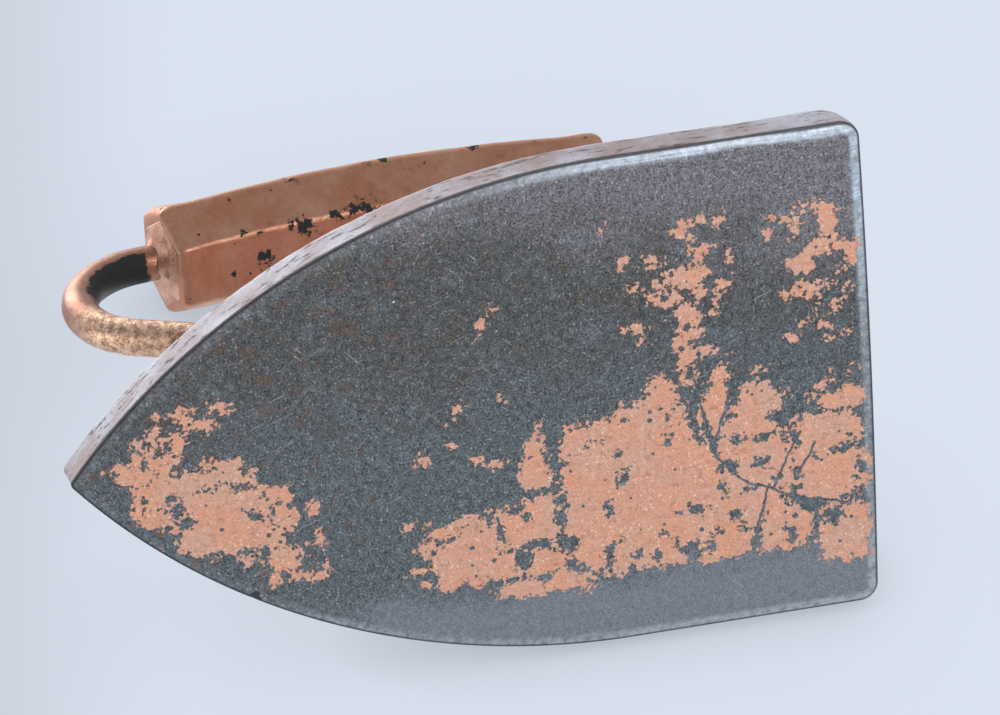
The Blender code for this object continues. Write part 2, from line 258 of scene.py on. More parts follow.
base = build_base()
nudge(base, (
    ((-0.0309, -0.0470, 0.0003), 0.8 * MM, (0.35 * MM, 0.2 * MM, 0.5 * MM)),
    ((-0.0100, -0.0703, 0.0004), 1.1 * MM, (0.1 * MM, 0.1 * MM, 0.25 * MM)),
    ((0.0530, 0.0725, 0.0085), 4.5 * MM, (0.0, 0.0, 0.7 * MM)),
    ((0.0530, 0.0570, 0.0085), 6.0 * MM, (0.0, 0.0, -0.4 * MM)),
    ((0.0405, -0.0080, 0.0095), 7.0 * MM, (0.0, 0.0, -0.5 * MM)),
))


def operator(operation, swapped=False):
    """A Python operator on fields, which adds the Math node of that name."""
    def add_node(field, other):
        first, second = (other, field) if swapped else (field, other)
        return field.nodes.node("Math", {"operation": operation}, {0: first, 1: second})
    return add_node


class Field:
    """A number that varies over a surface: one socket, with arithmetic."""

    def __init__(self, nodes, socket):
        self.nodes = nodes
        self.socket = socket

    __add__ = __radd__ = operator("ADD")
    __mul__ = __rmul__ = operator("MULTIPLY")
    __or__ = __ror__ = operator("MAXIMUM")
    __and__ = __rand__ = operator("MINIMUM")
    __sub__ = operator("SUBTRACT")
    __rsub__ = operator("SUBTRACT", swapped=True)
    __truediv__ = operator("DIVIDE")


class Nodes:
    """The nodes of a material or of the world."""

    def __init__(self, owner):
        owner.use_nodes = True
        self.tree = owner.node_tree

    def node(self, kind, settings=None, inputs=None, output=0):
        """Any node: its type, its settings, the values or fields of its sockets, and which
        of its outputs is wanted."""
        made = self.tree.nodes.new("ShaderNode" + kind)
        for name, value in (settings or {}).items():
            setattr(made, name, value)
        for name, value in (inputs or {}).items():
            self.feed(made.inputs[name], value)
        return Field(self, made.outputs[output])

    def feed(self, socket, value):
        if isinstance(value, Field):
            self.tree.links.new(value.socket, socket)
        elif socket.type == "RGBA":
            socket.default_value = (*value, 1.0)
        else:
            socket.default_value = value


class Finish(Nodes):
    """A material in the making, read in the piece's own coordinates."""

    def __init__(self, name):
        self.material = bpy.data.materials.new(name)
        super().__init__(self.material)
        self.place = self.node("TexCoord", output="Object")

    def axis(self, name):
        return self.node("SeparateXYZ", None, {0: self.place}, name)

    def kept(self, name):
        return self.node("Attribute", {"attribute_name": name}, None, "Fac")

    def stretched(self, x, y, z, turn=0.0):
        """The piece's coordinates, turned about Z and scaled: a pattern is drawn out along
        the axis with the small scale."""
        turned = self.node("Mapping", None, {"Vector": self.place, "Rotation": (0, 0, turn)})
        return self.node("Mapping", None, {"Vector": turned, "Scale": (x, y, z)})

    def noise(self, size, detail=3, roughness=0.55, place=None):
        """Cloudy noise around 0.5, its largest lumps about that size."""
        return self.node("TexNoise", None, {"Vector": place or self.place, "Scale": 1 / size,
                                            "Detail": detail, "Roughness": roughness}, "Fac")

    def cells(self, size, output="Distance"):
        """Random cells of about that size: the distance to their middles, or their own shade."""
        return self.node("TexVoronoi", None, {"Vector": self.place, "Scale": 1 / size}, output)

    def step(self, value, low, high):
        """0 below low, 1 above high, and a smooth step between; high may be the smaller."""
        first, last = (0.0, 1.0) if low < high else (1.0, 0.0)
        return self.node("MapRange", {"interpolation_type": "SMOOTHSTEP"},
                         {"Value": value, "From Min": min(low, high), "From Max": max(low, high),
                          "To Min": first, "To Max": last})

    def mix(self, share, first, second, blend="MIX"):
        return self.node("Mix", {"data_type": "RGBA", "blend_type": blend},
                         {0: share, 6: first, 7: second}, 2)

    def dim(self, colour, amount):
        return self.node("VectorMath", {"operation": "SCALE"}, {0: colour, "Scale": amount})

    def wear(self, colour, roughness, metallic, height, **plain):
        """Feed the shader. Height is in millimetres of relief; plain values are the same all over."""
        relief = self.node("Bump", None, {"Height": height, "Distance": MM, "Strength": 1.0})
        given = {"Base Color": colour, "Roughness": roughness, "Metallic": metallic, "Normal": relief}
        given.update({name.replace("_", " "): value for name, value in plain.items()})
        for name, value in given.items():
            self.feed(self.tree.nodes["Principled BSDF"].inputs[name], value)
        return self.material


# What is left of the copper on the sole, as blunt ovals: middle towards the heel and across,
# half length, half width and, if it is turned, degrees. The second list is cut out of them.
COPPER_LEFT = (
    (-66, 2.5, 4, 3.4, 20), (-70, 0, 3.2, 2.4), (-64, -6, 6.5, 6.5), (-54, -9, 9.5, 8, -15),
    (-49, -14, 6.5, 6.6, -10), (-51, -1.5, 5.2, 2.4, -10), (-61, 12.3, 3.2, 1.1), (-58.4, 9.5, 1.1, 3),
    (-65, 8.6, 2, 1.3, 20), (-69, 7.4, 1.1, 1.1), (-62, 7, 2.8, 1.1), (-55, 9, 2, 1.7),
    (-61, 4.6, 1.6, 1.8), (-50.6, 12.3, 1.9, 1.5, 20), (-53, 12.6, 0.8, 0.8), (-57, -17.4, 5, 2.6, -20),
    (-40.6, -23.6, 3.3, 2.9), (-42.5, -18.5, 2.2, 2.8), (-40.6, -8.6, 2.5, 1.8), (-40, -14.4, 2.4, 2.8),
    (-34, -13, 1.5, 1.5), (-34, -28.4, 1.6, 1.1), (-38, -28, 1.6, 1), (-43, -28, 1.2, 0.9),
    (-47.5, -22.6, 2, 1), (-33.6, -20, 0.9, 2), (-73, 2.6, 1.2, 0.5, 20), (-33, -24, 0.6, 1.6),
    (-5, -26.5, 7, 5.4, 24), (-4, -32, 6.5, 4.8), (5, -27, 7.5, 7), (3, -33, 8, 3), (-11.5, -26.4, 2, 1),
    (11, -32, 6, 5), (12, -23, 4.4, 4.6), (11.8, -13, 3.5, 3.8), (11.6, -7.6, 2.2, 2, 20),
    (13, -4, 1.1, 1.7, -15), (18.6, -8, 1.8, 1.6), (22, -10, 5, 6.6), (25, -20, 8.6, 10),
    (29, -9.6, 5, 6.5), (31.6, -4, 3.2, 2.8), (31, -27, 14, 11), (36, -13, 8, 13), (38.4, 0, 3.2, 4, 15),
    (41, -24, 9, 13), (45, -17, 5, 5), (50.6, 2.4, 1.5, 3, -15), (49, -5, 3, 6.4, -14),
    (57.6, -5.4, 5.2, 5.2), (61.5, -3, 2.2, 1.6), (56, -13, 6.8, 5.6), (54, -20, 5, 4.4),
    (61, -20, 4, 5.4), (67, -16, 3, 6), (72.4, -14, 7.4, 4.6), (73.4, -23, 7.6, 6.6),
    (75, -7, 5.2, 2.6, 8), (70.6, -3.6, 2, 0.6, 20), (76.6, -1.6, 1.2, 0.5, 40), (73, -2, 0.6, 1),
    (75, -37, 5.4, 6.8), (57, -31.6, 10, 7.6), (46, -33, 12, 6.4), (64, -35, 4.4, 4),
    (18, -39, 5.4, 2.2, -8), (8, -39, 5.6, 1.9), (30, -37.6, 7, 1.8), (76, -43.4, 4, 0.9),
    (45, 25.6, 4.2, 2.5), (41.6, 27, 1.5, 0.8, -20), (42.4, 22, 1.2, 1.5), (47.2, 21.7, 1.7, 1.1, 20),
    (44.4, 17, 2.2, 3.4), (44.6, 12, 2.6, 2.4), (48, 9, 1.8, 1.1, -8), (43.4, 8.4, 1.8, 1.6),
    (43.2, 5.4, 0.9, 2.4), (45.6, 4, 0.7, 3), (46.4, 12.4, 1.3, 1.1), (44.2, 35.6, 1.4, 1.1),
    (44.6, 37.8, 1.1, 0.7), (45.6, 33.4, 1, 1.8, -15), (48.2, 32, 2, 0.9, -5), (47.2, 29.4, 1, 1.7, -10),
    (48, 38.3, 1.1, 0.9), (52, 37.5, 0.8, 1), (53.8, 27, 0.6, 1.4), (51.6, 21.4, 0.9, 2.2, -20),
    (50.6, 17.2, 1.3, 0.8, 30), (37.8, 22.5, 1, 1.8, -15), (39.2, 29.4, 1.4, 0.5),
    (36.8, 31.4, 0.7, 0.9, 40), (32, 31, 1.1, 1.6), (33.8, 25, 1, 0.6), (38.4, 25.4, 0.5, 1.3),
    (34, 15.8, 2.6, 0.8, -6), (35.3, 13.5, 0.5, 0.8), (40.6, 20, 0.7, 0.5), (74, 33.6, 2, 3.6),
    (73, 36, 1.4, 0.8, 30), (72.4, 28.4, 3, 1.7, 25), (77, 27.8, 3.2, 1.2, -12),
    (78.2, 24.6, 1.3, 3, -15), (68.4, 25.2, 2.6, 2.4), (75.4, 21, 1.6, 0.5, 45), (69, 18.8, 4.6, 1.7),
    (72, 17.6, 0.8, 1.4), (66, 35.2, 1.6, 0.9, -20), (63.4, 35.8, 0.7, 0.5), (61.7, 32.8, 0.7, 0.9, 20),
    (68.4, 37.3, 1.5, 1), (71.4, 38, 0.9, 0.9), (68, 32.6, 1.1, 0.5, 30), (77.4, 17, 0.6, 2, -20),
    (75, 14, 0.7, 1.3), (73, 10.4, 1.2, 0.9), (69, 11.8, 1, 0.5, 35), (66.3, 8.6, 1.2, 0.7),
    (73.4, 7.4, 0.8, 0.7), (77.6, 7.8, 1.3, 0.6, -25), (2.6, 22.5, 2.4, 0.8, 50), (-11.4, -6.2, 1.1, 1.3),
    (3, -9.5, 2.1, 0.9, -15), (0, -8.2, 0.8, 0.5), (-5, -4, 0.6, 0.5), (5.2, 4.6, 0.8, 0.6),
    (58, 2.4, 1.4, 0.7), (-4, 3.4, 1.3, 0.5, 60), (28, 39.5, 0.7, 0.9), (-13.5, -31.4, 1.6, 0.8),
    (-12.4, -35, 1.2, 0.7), (-14, -21, 1.6, 0.4),
)
COPPER_GONE = (
    (-62, 10.6, 1.4, 1.3), (-59, 0.2, 3.6, 1.2, -8), (-61, -8.4, 1.1, 1.8), (-60.4, -12, 1.8, 1.4),
    (-63, -6, 0.7, 0.6), (-68, -5.6, 0.9, 0.6), (-67.6, 1.6, 0.5, 1.6), (-64, 4.4, 1.6, 0.9),
    (-52.4, -3.6, 0.6, 1.8, -10), (-48.4, -6, 2.6, 0.5, -5), (-46.4, -12.6, 1, 1.3),
    (-46, -3, 1.4, 0.5, -40), (-43.4, -12, 0.6, 1.2), (-45.6, -23, 0.6, 1.8), (-64.6, -8.4, 1.4, 0.5),
    (-56, -5.4, 1, 0.4, 20), (43.6, -3, 1.2, 5.2, 10), (46.4, 1.6, 0.7, 2.4), (48.2, -12, 0.9, 3.6, 14),
    (51.2, -18.2, 1.9, 1.4, -20), (53, -1.6, 1.3, 3), (54, -12.6, 1.4, 0.7), (63.4, -8.6, 3, 2.2, 25),
    (62, -12, 1.7, 1.3), (58, -18.8, 1.4, 1), (61.6, -22.6, 0.9, 0.9), (57.6, -13, 1.6, 0.8),
    (67, -4.4, 1.4, 3), (76, -9.3, 4.4, 0.5, -4), (71.4, -8.2, 1.4, 0.5), (75.4, -18.2, 5, 0.8, 12),
    (77, -15, 0.8, 0.6), (65.6, -13.8, 0.6, 2.4, 12), (65.4, -28.4, 2.6, 1.4, -25), (72.6, -33.2, 2.4, 2),
    (78, -28.4, 1.2, 2.2), (69.6, -31, 1.8, 1), (79.4, -23, 0.8, 1.3), (63.6, -36, 1, 3, 15),
    (56.4, -36.4, 0.8, 3, -15), (13.6, -17.6, 2.9, 0.9, -5), (15.6, -11.6, 1.4, 3.4), (16.4, -23, 1, 5),
    (1.4, -21.6, 0.8, 2), (3.4, -26, 0.5, 2.4, -10), (6.6, -20.8, 1.5, 0.8), (10, -29.4, 3.4, 1.2, 8),
    (8, -32.4, 2, 2.2), (17.6, -30.6, 2.2, 1.8), (9, -22.6, 0.8, 0.6), (19.6, -36.6, 1.6, 0.7, -10),
    (25.6, -36.4, 1, 2), (-8, -25.4, 2, 0.6, 30), (-2.6, -34.6, 1, 0.5, 20), (29.5, -17.4, 1, 1.5),
    (26, -23.4, 0.7, 1.2), (28, -31.4, 1.1, 0.8), (26, -32.8, 0.9, 0.6), (37, -31.2, 0.9, 0.9),
    (31.4, -36, 1.4, 0.8, 20), (40, -34.4, 0.8, 0.8), (43, -36.6, 2, 2), (43.4, -27, 1.4, 0.8, -10),
    (46.4, -27.6, 1.1, 0.6, -15), (36, -36.4, 0.8, 1.2), (30.6, -38.4, 1, 0.8), (47, -36, 1.2, 1),
    (49, -33.4, 1.2, 0.9, -40), (52.4, -30, 1.2, 1), (52, -24.6, 1.3, 0.8), (54, -33, 0.7, 0.7),
    (39.4, -4.6, 0.8, 1.2, 20), (39, -10.2, 0.7, 0.6), (28.4, -11.8, 0.6, 0.5), (30.6, -4.6, 0.5, 0.6),
    (23, -8.4, 0.8, 0.4), (44, 23, 0.9, 0.9), (44.4, 14.6, 0.5, 0.7), (45, 11, 0.4, 0.4),
    (74, 25.6, 2.6, 1.3, -5), (68.4, 19, 0.8, 0.6),
)
OVAL_BLUNTNESS = 2.8              # 2 is an ellipse, more is squarer


def inside_ovals(along, across, ovals):
    """How deep a point lies inside the deepest of the ovals, in millimetres; negative
    outside. An oval's own measure is (|u/a|^p + |v/b|^p)^(1/p), which is 1 on its line."""
    middle_y, middle_x, length, width, turn = np.array([(*oval, 0)[:5] for oval in ovals], float).T
    turn = np.radians(turn)
    dy = along[:, None] - middle_y
    dx = across[:, None] - middle_x
    u = np.abs(dy * np.cos(turn) + dx * np.sin(turn)) / length
    v = np.abs(dx * np.cos(turn) - dy * np.sin(turn)) / width
    level = (u ** OVAL_BLUNTNESS + v ** OVAL_BLUNTNESS) ** (1 / OVAL_BLUNTNESS)
    return ((1 - level) * np.minimum(length, width)).max(1)


def copper_left(points):
    """How far inside the copper a point of the base lies, in millimetres."""
    along, across = points[:, 1] / MM, points[:, 0] / MM
    return np.minimum(inside_ovals(along, across, COPPER_LEFT), -inside_ovals(along, across, COPPER_GONE))


COLD_IRON_PAINTED_SHEEN = (0.112, 0.132, 0.146)
WARM_IRON = (0.088, 0.091, 0.094)
PALE_IRON_PAINTED_SHEEN = (0.215, 0.235, 0.270)
ROSY_IRON = (0.185, 0.178, 0.198)
OLIVE_IRON = (0.105, 0.082, 0.060)
BLUE_IRON = (0.150, 0.168, 0.188)
RUBBED_IRON_AND_HIGHLIGHT = (0.60, 0.68, 0.76)
FROSTED_IRON = (0.50, 0.53, 0.54)
LIP_DARK = (0.030, 0.028, 0.030)
PLATE_COPPER = (0.76, 0.365, 0.235)
PLATE_ROSE = (0.70, 0.40, 0.30)
PLATE_BRIGHT = (1.0, 0.76, 0.62)
PLATE_BROWN = (0.40, 0.19, 0.13)
PLATE_RIM_HIGHLIGHT = (0.88, 0.50, 0.34)
RUST = (0.20, 0.075, 0.028)
DUST = (0.72, 0.72, 0.70)
FINE_CRACKS = (
    ((45, 3), (47.5, -9), (49, -16), (55, -22.6), (66, -28), (76, -31)), ((52.6, -2), (49, -12)),
    ((59.4, -24), (55.6, -39)), ((66.6, -13), (60.4, -25)), ((69.6, -16), (66, -22)), ((3, -22), (4.4, -28)),
)
CRACK_WIDTH = 0.42 * MM
CRACK_WANDER = 1.6 * MM


def crack_lines(finish, lines):
    """1 on thin lines that wander from point to point, given in millimetres towards the heel
    and across: where the distance to the nearest point of a line is under its width."""
    wander = finish.node("TexNoise", None,
                         {"Vector": finish.place, "Scale": 1 / (3 * MM), "Detail": 4.0}, "Color")
    back = -CRACK_WANDER / 2
    wander = finish.node("VectorMath", {"operation": "MULTIPLY_ADD"},
                         {0: wander, 1: (CRACK_WANDER, CRACK_WANDER, 0), 2: (back, back, 0)})
    place = finish.node("VectorMath", {"operation": "ADD"}, {0: finish.place, 1: wander})
    drawn = 0.0
    for start, end in (pair for line in lines for pair in zip(line, line[1:])):
        start = Vector((start[1] * MM, start[0] * MM, 0))
        run = Vector((end[1] * MM, end[0] * MM, 0)) - start
        offset = finish.node("VectorMath", {"operation": "SUBTRACT"}, {0: place, 1: start})
        share = finish.node("VectorMath", {"operation": "DOT_PRODUCT"},
                            {0: offset, 1: run / run.length_squared}, "Value")
        nearest = finish.node("VectorMath", {"operation": "SCALE"}, {0: run, "Scale": (share | 0.0) & 1.0})
        apart = finish.node("VectorMath", {"operation": "DISTANCE"}, {0: offset, 1: nearest}, "Value")
        drawn = finish.step(apart, CRACK_WIDTH, 0.4 * CRACK_WIDTH) | drawn
    return drawn


def sole_finish():
    """Ground iron: grained, cold to warm across, with a painted sheen that makes it lighter and
    bluer towards -X; rubbed bright near the rolled edge, with a painted highlight there that is
    strongest towards the heel. Copper lies where the stored depth, broken up by ragged and
    blocky noise, is above zero."""
    sole = Finish("sole_iron_and_copper")
    x, y, z = (sole.axis(name) for name in "XYZ")
    speck = sole.noise(0.45 * MM, 2, 0.6)
    grit = sole.noise(1.5 * MM, 5, 0.7)
    cloud = sole.noise(16 * MM, 5, 0.6)
    streak = sole.noise(1.0, 3, 0.6, sole.stretched(2600, 140, 2600))
    grains = (speck - 0.5) * 3.6 + (grit - 0.5) * 2.6

    ragged = sole.noise(3.2 * MM, 8, 0.7) - 0.5
    blocky = sole.cells(0.8 * MM, "Color") - 0.5
    depth = sole.kept("copper_left") + ragged * 6.5 + blocky * 1.9
    pit_size = sole.cells(2.4 * MM, "Color") * 0.50 - 0.20 + ragged * 0.5
    pits = sole.step(pit_size - sole.cells(2.4 * MM), -0.03, 0.03)
    cracks = crack_lines(sole, FINE_CRACKS)
    copper = sole.step(depth, -0.12, 0.12) * (1 - pits) * (1 - cracks)
    crumbs = sole.step(sole.noise(1.1 * MM, 3, 0.6), 0.70, 0.73) * sole.step(depth, -6.0, -1.5)
    copper = copper | crumbs

    # Painted sheen: the iron is made lighter and bluer towards -X.
    painted_sheen_side = sole.step(x + (cloud - 0.5) * 0.05, 26 * MM, -12 * MM)
    iron = sole.mix(painted_sheen_side, WARM_IRON, COLD_IRON_PAINTED_SHEEN)
    patchy = sole.noise(7 * MM, 6, 0.7)
    iron = sole.mix(sole.step(patchy, 0.52, 0.66) * (1 - painted_sheen_side) * 0.7, iron, OLIVE_IRON)
    iron = sole.mix(sole.step(patchy, 0.47, 0.36) * 0.5, iron, BLUE_IRON)
    # Painted sheen: a pale bluish band along the -X edge.
    painted_sheen_edge = sole.step(x + (cloud - 0.5) * 0.02, -32 * MM, -45 * MM)
    iron = sole.mix(painted_sheen_edge * 0.9, iron, PALE_IRON_PAINTED_SHEEN)
    near_top = sole.step(x + y * 0.25 + (cloud - 0.5) * 0.04, 34 * MM, 56 * MM)
    iron = sole.mix(near_top * 0.9, iron, ROSY_IRON)
    iron = sole.dim(iron, (grains * (1 - painted_sheen_edge * 0.6) + 1.02) | 0.25)
    sparks = sole.step(speck, 0.60, 0.72) * sole.step(grit, 0.45, 0.60) * (1 - painted_sheen_edge)
    iron = sole.mix(sparks * 0.7, iron, DUST)
    scratch = sole.step(sole.noise(1.0, 2, 0.5, sole.stretched(3200, 70, 1, 0.35)), 0.69, 0.73)
    scratch = scratch | sole.step(sole.noise(1.0, 2, 0.5, sole.stretched(3000, 90, 1, -0.8)), 0.70, 0.74)
    iron = sole.mix(scratch * 0.35, iron, DUST)
    rust = sole.step(sole.noise(4 * MM, 7, 0.74), 0.53, 0.68) * sole.step(y - x * 0.3, 10 * MM, -45 * MM)
    iron = sole.mix(rust * 0.65, iron, RUST)
    # Rubbed bare iron on the rolled edge, with a painted highlight in it that is strongest towards the heel
    # and +X.
    heel_half = sole.step(y, -12 * MM, 48 * MM) * (0.35 + sole.step(x, 0, 35 * MM) * 0.65)
    rubbed_and_highlight = sole.step(z * (cloud + 0.5), 0.002 * MM, 0.12 * MM) * (0.08 + heel_half * 0.92)
    brushed_and_highlight = sole.dim(RUBBED_IRON_AND_HIGHLIGHT, (grit - 0.5) * 1.8 + (streak - 0.5) * 1.2 + 0.92)
    iron = sole.mix(rubbed_and_highlight * 0.9, iron, brushed_and_highlight)
    frost = sole.step(z, 0.01 * MM, 0.30 * MM) * sole.step(x, -28 * MM, -44 * MM)
    frost = frost * sole.step(grit, 0.36, 0.60)
    iron = sole.mix(frost * 0.55, iron, FROSTED_IRON)
    lip = sole.step(z, 0.36 * MM, 0.50 * MM)

    rosy = sole.noise(9 * MM, 4, 0.6)
    plate = sole.mix(sole.step(rosy, 0.35, 0.65), PLATE_COPPER, PLATE_ROSE)
    plate = sole.dim(plate, (grains * 0.26 + 0.98 + (streak - 0.5) * 0.4) | 0.3)
    bright = sole.step(sole.cells(1.15 * MM), 0.32, 0.10) * sole.step(sole.noise(7 * MM), 0.42, 0.54)
    plate = sole.mix(bright * 0.65, plate, PLATE_BRIGHT)
    toned = sole.step(sole.noise(2.0 * MM, 6, 0.72), 0.54, 0.66)
    plate = sole.mix(toned * 0.6, plate, PLATE_BROWN)
    # Painted highlight: a lighter rim along the edges of the copper.
    rim = sole.step(depth, 0.8, 0.15)
    plate = sole.mix(rim * 0.3, plate, PLATE_RIM_HIGHLIGHT)

    colour = sole.mix(lip * 0.85, sole.mix(copper, iron, plate), LIP_DARK)
    chosen = sole.step(sole.cells(7 * MM, "Color"), 0.60, 0.62)
    dust = sole.step(sole.cells(7 * MM) + (speck - 0.5) * 0.05, 0.042, 0.026) * chosen
    colour = sole.mix(dust, colour, DUST)
    height = copper * 0.06 + speck * 0.05 + grit * 0.07 + streak * 0.01
    return sole.wear(colour, 0.42 + grit * 0.25 + copper * 0.06, 0.25 - copper * 0.1 + rubbed_and_highlight * 0.3, height)


WALL_ROSE = (0.48, 0.36, 0.335)
# The pale wall colour is a painted sheen, a reflection of the pale surroundings.
WALL_PAINTED_SHEEN = (0.64, 0.61, 0.66)
CROWN_COPPER = (0.43, 0.215, 0.14)
WALL_DARK = (0.060, 0.048, 0.048)


def body_finish():
    """Rosy copper on the wall with pale patches of painted sheen, browner on the crown, worn to
    dark in dashes along the wall, at pits and at the foot of the wall."""
    body = Finish("coppered_casting")
    z = body.axis("Z")
    speck = body.noise(0.5 * MM, 3, 0.6)
    grit = body.noise(1.8 * MM, 6, 0.7)
    cloud = body.noise(13 * MM, 5, 0.6)
    # Painted sheen: pale patches mixed into the wall's rosy copper.
    skin = body.mix(body.step(cloud, 0.35, 0.65), WALL_ROSE, WALL_PAINTED_SHEEN)
    skin = body.dim(skin, 0.58 + speck * 0.35 + grit * 0.45)
    dashes = body.step(body.noise(1.0, 5, 0.68, body.stretched(420, 130, 1100)), 0.575, 0.62)
    seats = body.step(body.noise(2.6 * MM, 6, 0.7), 0.655, 0.70)
    foot = body.step(z - grit * 0.9 * MM, 0.95 * MM, 0.45 * MM)
    crown = body.step(z + (cloud - 0.5) * 0.006, 8.5 * MM, 12.5 * MM)
    coppery = body.dim(CROWN_COPPER, 0.50 + speck * 0.4 + grit * 0.6)
    skin = body.mix(crown * (0.62 + body.step(cloud, 0.60, 0.40) * 0.36), skin, coppery)
    bare = (dashes * (1 - crown) * 0.85 | seats * 0.8) | foot * 0.95
    colour = body.mix(bare, skin, body.dim(WALL_DARK, 0.6 + speck * 1.4))
    height = speck * 0.05 + grit * 0.12 - bare * 0.10
    return body.wear(colour, 0.44 + grit * 0.3, 0.35 + crown * 0.35 - bare * 0.3, height,
                     Sheen_Weight=0.25, Sheen_Roughness=0.4)


keep_field(base, "copper_left", copper_left(points_of(base)))
base.data.materials.append(sole_finish())
base.data.materials.append(body_finish())
face_height = np.empty(len(base.data.polygons) * 3, np.float32)
base.data.polygons.foreach_get("center", face_height)
face_slot = (face_height.reshape(-1, 3)[:, 2] > SOLE_ROLL_RISE + 0.02 * MM).astype(np.int32)
base.data.polygons.foreach_set("material_index", face_slot)
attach(base, "root")
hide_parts("base_casting")


# ---- handle bar -----------------------------------------------------------------------
# One length of round iron bar, bent hot: nearly straight through the grip, round a loop at
# each end, and back along a sloping leg to a foot that is set in the crown of the base.
# Copper flashed; it is rubbed bright along the legs, with a painted highlight laid in there
# too, and sooty inside the loops.
bar_low, bar_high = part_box("handle_bar")
BAR_RADIUS = bar_high.x
HANDLE_HEIGHT = 97.3 * MM         # sole to the bar's middle line, halfway along the grip
HANDLE_RAKE = math.radians(2.8)
RAKED_UP = np.array((-math.sin(HANDLE_RAKE), math.cos(HANDLE_RAKE)))
BAR_ARCH_RADIUS = 480.0 * MM
GRIP_LENGTH = 97.0 * MM
LOOP_RUN = 5.4 * MM
LOOP_RADIUS = 17.2 * MM
LEG_SLOPE = math.radians(26.0)
FOOT_BEND_RADIUS = 16.0 * MM
BAR_STEP = 0.7 * MM
BAR_SIDES = 40


def follow(lengths, turns, start, heading):
    """A bent line: its heading grows evenly by each turn over each length, and its points
    are the running sum of short steps along the heading. Gives points and headings."""
    ends = np.concatenate([[0], np.cumsum(lengths)])
    along = np.linspace(0, ends[-1], math.ceil(ends[-1] / BAR_STEP) + 1)
    headings = np.interp(along, ends, heading + np.concatenate([[0], np.cumsum(turns)]))
    halfway = np.interp((along[1:] + along[:-1]) / 2, along, headings)
    steps = np.diff(along)[:, None] * np.c_[np.cos(halfway), np.sin(halfway)]
    return np.concatenate([[start], start + np.cumsum(steps, axis=0)]), headings


def half_handle(rake):
    """Half of the bar as (run, height) from the middle of the grip, with its headings."""
    arch = GRIP_LENGTH / 2 / BAR_ARCH_RADIUS
    loop = -math.pi + LEG_SLOPE + rake + arch
    lengths = [GRIP_LENGTH / 2, LOOP_RUN, LOOP_RADIUS * abs(loop)]
    start = np.array((0.0, HANDLE_HEIGHT))
    so_far, _ = follow(lengths, [-arch, 0, loop], start, -rake)
    bend_reach = FOOT_BEND_RADIUS * (1 - math.sin(LEG_SLOPE))
    leg = (so_far[-1, 0] - FOOT_SPREAD / 2 - bend_reach) / math.cos(LEG_SLOPE)
    bend = math.pi / 2 - LEG_SLOPE
    bend_top = so_far[-1, 1] - leg * math.sin(LEG_SLOPE) - FOOT_BEND_RADIUS * math.cos(LEG_SLOPE)
    lengths += [leg, FOOT_BEND_RADIUS * bend, bend_top - bar_low.z]
    return follow(lengths, [-arch, 0, loop, 0, bend, 0], start, -rake)


def build_bar():
    """The two halves end to end, with a circle of the bar's radius set across each point."""
    front, front_heading = half_handle(HANDLE_RAKE)
    rear, rear_heading = half_handle(-HANDLE_RAKE)
    y = np.concatenate([HANDLE_Y - front[::-1, 0], HANDLE_Y + rear[1:, 0]])
    z = np.concatenate([front[::-1, 1], rear[1:, 1]])
    tangent_y = np.concatenate([np.cos(front_heading[::-1]), np.cos(rear_heading[1:])])
    tangent_z = np.concatenate([-np.sin(front_heading[::-1]), np.sin(rear_heading[1:])])
    angle = np.linspace(0, 2 * math.pi, BAR_SIDES, endpoint=False)
    across, out = BAR_RADIUS * np.cos(angle), BAR_RADIUS * np.sin(angle)
    rings = np.stack([across + 0 * y[:, None],
                      y[:, None] - out * tangent_z[:, None],
                      z[:, None] + out * tangent_y[:, None]], -1)
    bar = surface("handle_bar_round", rings)
    in_loop = smooth_step(np.abs(y - HANDLE_Y), GRIP_LENGTH / 2 + 1 * MM, GRIP_LENGTH / 2 + 6 * MM)
    upper = smooth_step(z, z.max() - 30 * MM, z.max() - 14 * MM)
    inner = smooth_step(-np.sin(angle), 0.05, 0.75)
    soot = (in_loop * upper)[:, None] * inner
    worn = smooth_step(z, z.max() - 25 * MM, z.max() - 36 * MM)[:, None] + 0 * angle
    for name, values in (("soot", soot), ("worn", worn)):
        keep_field(bar, name, np.concatenate([values.ravel(), values[0, :1], values[-1, :1]]))
    roughen(bar, ((0.16 * MM, 7 * MM, 11), (0.08 * MM, 2.2 * MM, 12)))
    return bar


COPPER_BROWN = (0.38, 0.180, 0.112)
COPPER_ROSE = (0.50, 0.28, 0.20)
COPPER_BRIGHT_AND_HIGHLIGHT = (1.0, 0.68, 0.46)
SOOT = (0.022, 0.026, 0.026)


def copper_skin(finish, brown, rose, lumps):
    """Copper that has toned unevenly from brown to rose: (colour, fine speck, grit)."""
    speck = finish.noise(0.45 * MM, 3, 0.6)
    grit = finish.noise(1.6 * MM, 6, 0.68)
    tone = finish.noise(lumps, 6, 0.62)
    skin = finish.mix(finish.step(tone, 0.34, 0.66), brown, rose)
    return finish.dim(skin, 0.66 + speck * 0.3 + grit * 0.38), speck, grit


def bar_finish():
    bar = Finish("coppered_bar")
    skin, speck, grit = copper_skin(bar, COPPER_BROWN, COPPER_ROSE, 9 * MM)
    worn = bar.kept("worn")
    # Rubbed bright copper on the lower legs, partly a painted highlight.
    rubbed_and_highlight = worn * bar.step(grit + speck * 0.5, 0.60, 0.88)
    skin = bar.mix(rubbed_and_highlight, skin, COPPER_BRIGHT_AND_HIGHLIGHT)
    sooty = bar.step(bar.kept("soot") + (bar.noise(2.6 * MM, 6, 0.7) - 0.5) * 1.3, 0.36, 0.58)
    spots = bar.step(bar.noise(3.0 * MM, 6, 0.7), 0.69, 0.73)
    dark = sooty | spots * 0.8
    colour = bar.mix(dark, skin, SOOT)
    height = speck * 0.05 + grit * 0.09 + worn * bar.noise(0.8 * MM, 4, 0.7) * 0.10 - dark * 0.06
    return bar.wear(colour, 0.30 + grit * 0.22 + dark * 0.3, 0.92 - dark * 0.7, height)


bar = build_bar()
bar.data.materials.append(bar_finish())
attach(bar, "root")
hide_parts("handle_bar")


